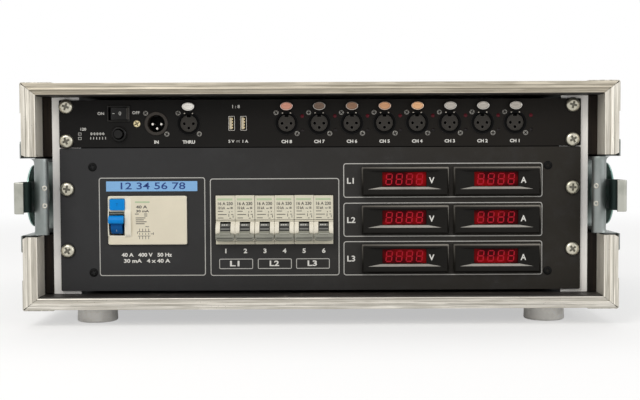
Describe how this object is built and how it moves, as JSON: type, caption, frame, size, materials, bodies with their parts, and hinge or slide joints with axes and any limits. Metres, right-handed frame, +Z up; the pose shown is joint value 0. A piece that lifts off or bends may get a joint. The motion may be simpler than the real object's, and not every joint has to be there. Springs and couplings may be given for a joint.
{
  "type": "power distribution box",
  "caption": "Rack flight case with a three-phase power distributor, breakers and meters, a signal splitter above it, latch hooks at each end and handles.",
  "frame": {"origin": "on the floor under the middle of the case, which is the centre of the feet's plane", "axes": "+X to the right as seen from the controls, +Y from the controls to the rear, +Z up"},
  "size_m": [0.5434, 0.475, 0.2229],
  "materials": {
    "laminate": "black phenolic film on birch plywood",
    "rim_aluminium": "scuffed mill finish",
    "foot_rubber": "pale grey, matt",
    "rail_steel": "zinc plated, satin",
    "zinc": "zinc plated, satin",
    "handle": "black sleeve on a plated bail",
    "powder_coat": "fine black powder coat",
    "chassis_paint": "black paint, satin",
    "breaker_cream": "satin moulded",
    "control_blue": "semi-gloss moulded",
    "lever_grey": "satin moulded",
    "black_plastic": "semi-gloss moulded",
    "bright_nickel": "bright nickel plate"
  },
  "bodies": {
    "root": {"top_panel": "laminate", "bottom_panel": "laminate", "left_side_panel": "laminate", "right_side_panel": "laminate", "front_upper_rim": "rim_aluminium", "front_lower_rim": "rim_aluminium", "front_left_foot": "foot_rubber", "front_left_rack_rail": "rail_steel", "front_left_latch_dish": "zinc", "front_right_foot": "foot_rubber", "front_right_rack_rail": "rail_steel", "front_right_latch_dish": "zinc", "rear_upper_rim": "rim_aluminium", "rear_lower_rim": "rim_aluminium", "rear_left_foot": "foot_rubber", "rear_left_rack_rail": "rail_steel", "rear_left_latch_dish": "zinc", "rear_right_foot": "foot_rubber", "rear_right_rack_rail": "rail_steel", "rear_right_latch_dish": "zinc", "distributor_panel": "powder_coat", "distributor_chassis": "chassis_paint", "rear_socket_plate": "chassis_paint", "residual_breaker_body": "breaker_cream", "circuit_breaker_bank": "breaker_cream", "splitter_panel": "powder_coat", "splitter_chassis": "chassis_paint"},
    "left_handle_grip": {"left_handle_grip": "handle"},
    "right_handle_grip": {"right_handle_grip": "handle"},
    "front_left_latch_rotor": {"front_left_latch_rotor": "zinc"},
    "front_left_latch_wing": {"front_left_latch_wing": "zinc"},
    "front_left_latch_hook": {"front_left_latch_hook": "zinc"},
    "front_right_latch_rotor": {"front_right_latch_rotor": "zinc"},
    "front_right_latch_wing": {"front_right_latch_wing": "zinc"},
    "front_right_latch_hook": {"front_right_latch_hook": "zinc"},
    "rear_left_latch_rotor": {"rear_left_latch_rotor": "zinc"},
    "rear_left_latch_wing": {"rear_left_latch_wing": "zinc"},
    "rear_left_latch_hook": {"rear_left_latch_hook": "zinc"},
    "rear_right_latch_rotor": {"rear_right_latch_rotor": "zinc"},
    "rear_right_latch_wing": {"rear_right_latch_wing": "zinc"},
    "rear_right_latch_hook": {"rear_right_latch_hook": "zinc"},
    "residual_breaker_lever": {"residual_breaker_lever": "control_blue"},
    "residual_breaker_test_button": {"residual_breaker_test_button": "control_blue"},
    "circuit_breaker_lever_1": {"circuit_breaker_lever_1": "lever_grey"},
    "circuit_breaker_lever_2": {"circuit_breaker_lever_2": "lever_grey"},
    "circuit_breaker_lever_3": {"circuit_breaker_lever_3": "lever_grey"},
    "circuit_breaker_lever_4": {"circuit_breaker_lever_4": "lever_grey"},
    "circuit_breaker_lever_5": {"circuit_breaker_lever_5": "lever_grey"},
    "circuit_breaker_lever_6": {"circuit_breaker_lever_6": "lever_grey"},
    "power_rocker": {"power_rocker": "black_plastic"},
    "termination_button": {"termination_button": "black_plastic"},
    "thru_socket_tab": {"thru_socket_tab": "bright_nickel"},
    "output_1_tab": {"output_1_tab": "bright_nickel"},
    "output_2_tab": {"output_2_tab": "bright_nickel"},
    "output_3_tab": {"output_3_tab": "bright_nickel"},
    "output_4_tab": {"output_4_tab": "bright_nickel"},
    "output_5_tab": {"output_5_tab": "bright_nickel"},
    "output_6_tab": {"output_6_tab": "bright_nickel"},
    "output_7_tab": {"output_7_tab": "bright_nickel"},
    "output_8_tab": {"output_8_tab": "bright_nickel"}
  },
  "joints": [
    {"name": "front_left_latch_turn", "type": "hinge", "parent": "root", "child": "front_left_latch_rotor", "pos_m": [-0.2689, -0.168, 0.11885], "axis": [-1, 0, 0], "range_deg": [0, 180]},
    {"name": "front_left_wing_fold", "type": "hinge", "parent": "front_left_latch_rotor", "child": "front_left_latch_wing", "pos_m": [-0.2689, -0.168, 0.11885], "axis": [0, 0, -1], "range_deg": [0, 90]},
    {"name": "front_left_hook_slide", "type": "slide", "parent": "root", "child": "front_left_latch_hook", "axis": [0, 1, 0], "range_m": [0, 0.009]},
    {"name": "front_right_latch_turn", "type": "hinge", "parent": "root", "child": "front_right_latch_rotor", "pos_m": [0.2689, -0.168, 0.11885], "axis": [1, 0, 0], "range_deg": [0, 180]},
    {"name": "front_right_wing_fold", "type": "hinge", "parent": "front_right_latch_rotor", "child": "front_right_latch_wing", "pos_m": [0.2689, -0.168, 0.11885], "axis": [0, 0, 1], "range_deg": [0, 90]},
    {"name": "front_right_hook_slide", "type": "slide", "parent": "root", "child": "front_right_latch_hook", "axis": [0, 1, 0], "range_m": [0, 0.009]},
    {"name": "rear_left_latch_turn", "type": "hinge", "parent": "root", "child": "rear_left_latch_rotor", "pos_m": [-0.2689, 0.168, 0.11885], "axis": [-1, 0, 0], "range_deg": [0, 180]},
    {"name": "rear_left_wing_fold", "type": "hinge", "parent": "rear_left_latch_rotor", "child": "rear_left_latch_wing", "pos_m": [-0.2689, 0.168, 0.11885], "axis": [0, 0, 1], "range_deg": [0, 90]},
    {"name": "rear_left_hook_slide", "type": "slide", "parent": "root", "child": "rear_left_latch_hook", "axis": [0, -1, 0], "range_m": [0, 0.009]},
    {"name": "rear_right_latch_turn", "type": "hinge", "parent": "root", "child": "rear_right_latch_rotor", "pos_m": [0.2689, 0.168, 0.11885], "axis": [1, 0, 0], "range_deg": [0, 180]},
    {"name": "rear_right_wing_fold", "type": "hinge", "parent": "rear_right_latch_rotor", "child": "rear_right_latch_wing", "pos_m": [0.2689, 0.168, 0.11885], "axis": [0, 0, -1], "range_deg": [0, 90]},
    {"name": "rear_right_hook_slide", "type": "slide", "parent": "root", "child": "rear_right_latch_hook", "axis": [0, -1, 0], "range_m": [0, 0.009]},
    {"name": "left_handle_swing", "type": "hinge", "parent": "root", "child": "left_handle_grip", "pos_m": [-0.2625, 0, 0.15585], "axis": [0, 1, 0], "range_deg": [0, 90], "stiffness_Nm_per_rad": 0.06},
    {"name": "right_handle_swing", "type": "hinge", "parent": "root", "child": "right_handle_grip", "pos_m": [0.2625, 0, 0.15585], "axis": [0, -1, 0], "range_deg": [0, 90], "stiffness_Nm_per_rad": 0.06},
    {"name": "circuit_breaker_toggle_1", "type": "hinge", "parent": "root", "child": "circuit_breaker_lever_1", "pos_m": [-0.0881, -0.1829, 0.08563], "axis": [-1, 0, 0], "range_deg": [0, 60]},
    {"name": "circuit_breaker_toggle_2", "type": "hinge", "parent": "root", "child": "circuit_breaker_lever_2", "pos_m": [-0.0699, -0.1829, 0.08563], "axis": [-1, 0, 0], "range_deg": [0, 60]},
    {"name": "circuit_breaker_toggle_3", "type": "hinge", "parent": "root", "child": "circuit_breaker_lever_3", "pos_m": [-0.0517, -0.1829, 0.08563], "axis": [-1, 0, 0], "range_deg": [0, 60]},
    {"name": "circuit_breaker_toggle_4", "type": "hinge", "parent": "root", "child": "circuit_breaker_lever_4", "pos_m": [-0.0335, -0.1829, 0.08563], "axis": [-1, 0, 0], "range_deg": [0, 60]},
    {"name": "circuit_breaker_toggle_5", "type": "hinge", "parent": "root", "child": "circuit_breaker_lever_5", "pos_m": [-0.0153, -0.1829, 0.08563], "axis": [-1, 0, 0], "range_deg": [0, 60]},
    {"name": "circuit_breaker_toggle_6", "type": "hinge", "parent": "root", "child": "circuit_breaker_lever_6", "pos_m": [0.0029, -0.1829, 0.08563], "axis": [-1, 0, 0], "range_deg": [0, 60]},
    {"name": "residual_breaker_toggle", "type": "hinge", "parent": "root", "child": "residual_breaker_lever", "pos_m": [-0.1885, -0.1829, 0.09162], "axis": [1, 0, 0], "range_deg": [0, 60]},
    {"name": "test_button_press", "type": "slide", "parent": "root", "child": "residual_breaker_test_button", "axis": [0, 1, 0], "range_m": [0, 0.0015], "stiffness_N_per_m": 300},
    {"name": "power_rocker_tilt", "type": "hinge", "parent": "root", "child": "power_rocker", "pos_m": [-0.1862, -0.1805, 0.19492], "axis": [0, 0, -1], "range_deg": [0, 20]},
    {"name": "termination_button_press", "type": "slide", "parent": "root", "child": "termination_button", "axis": [0, 1, 0], "range_m": [0, 0.003], "stiffness_N_per_m": 200},
    {"name": "thru_socket_tab_press", "type": "slide", "parent": "root", "child": "thru_socket_tab", "axis": [0, 1, 0], "range_m": [0, 0.002], "stiffness_N_per_m": 300},
    {"name": "output_1_tab_press", "type": "slide", "parent": "root", "child": "output_1_tab", "axis": [0, 1, 0], "range_m": [0, 0.002], "stiffness_N_per_m": 300},
    {"name": "output_2_tab_press", "type": "slide", "parent": "root", "child": "output_2_tab", "axis": [0, 1, 0], "range_m": [0, 0.002], "stiffness_N_per_m": 300},
    {"name": "output_3_tab_press", "type": "slide", "parent": "root", "child": "output_3_tab", "axis": [0, 1, 0], "range_m": [0, 0.002], "stiffness_N_per_m": 300},
    {"name": "output_4_tab_press", "type": "slide", "parent": "root", "child": "output_4_tab", "axis": [0, 1, 0], "range_m": [0, 0.002], "stiffness_N_per_m": 300},
    {"name": "output_5_tab_press", "type": "slide", "parent": "root", "child": "output_5_tab", "axis": [0, 1, 0], "range_m": [0, 0.002], "stiffness_N_per_m": 300},
    {"name": "output_6_tab_press", "type": "slide", "parent": "root", "child": "output_6_tab", "axis": [0, 1, 0], "range_m": [0, 0.002], "stiffness_N_per_m": 300},
    {"name": "output_7_tab_press", "type": "slide", "parent": "root", "child": "output_7_tab", "axis": [0, 1, 0], "range_m": [0, 0.002], "stiffness_N_per_m": 300},
    {"name": "output_8_tab_press", "type": "slide", "parent": "root", "child": "output_8_tab", "axis": [0, 1, 0], "range_m": [0, 0.002], "stiffness_N_per_m": 300}
  ],
  "couplings": [
    {"joint": "front_left_latch_turn", "follows": "front_left_hook_slide", "rad_per_m": 349.06},
    {"joint": "front_right_latch_turn", "follows": "front_right_hook_slide", "rad_per_m": 349.06},
    {"joint": "rear_left_latch_turn", "follows": "rear_left_hook_slide", "rad_per_m": 349.06},
    {"joint": "rear_right_latch_turn", "follows": "rear_right_hook_slide", "rad_per_m": 349.06}
  ]
}
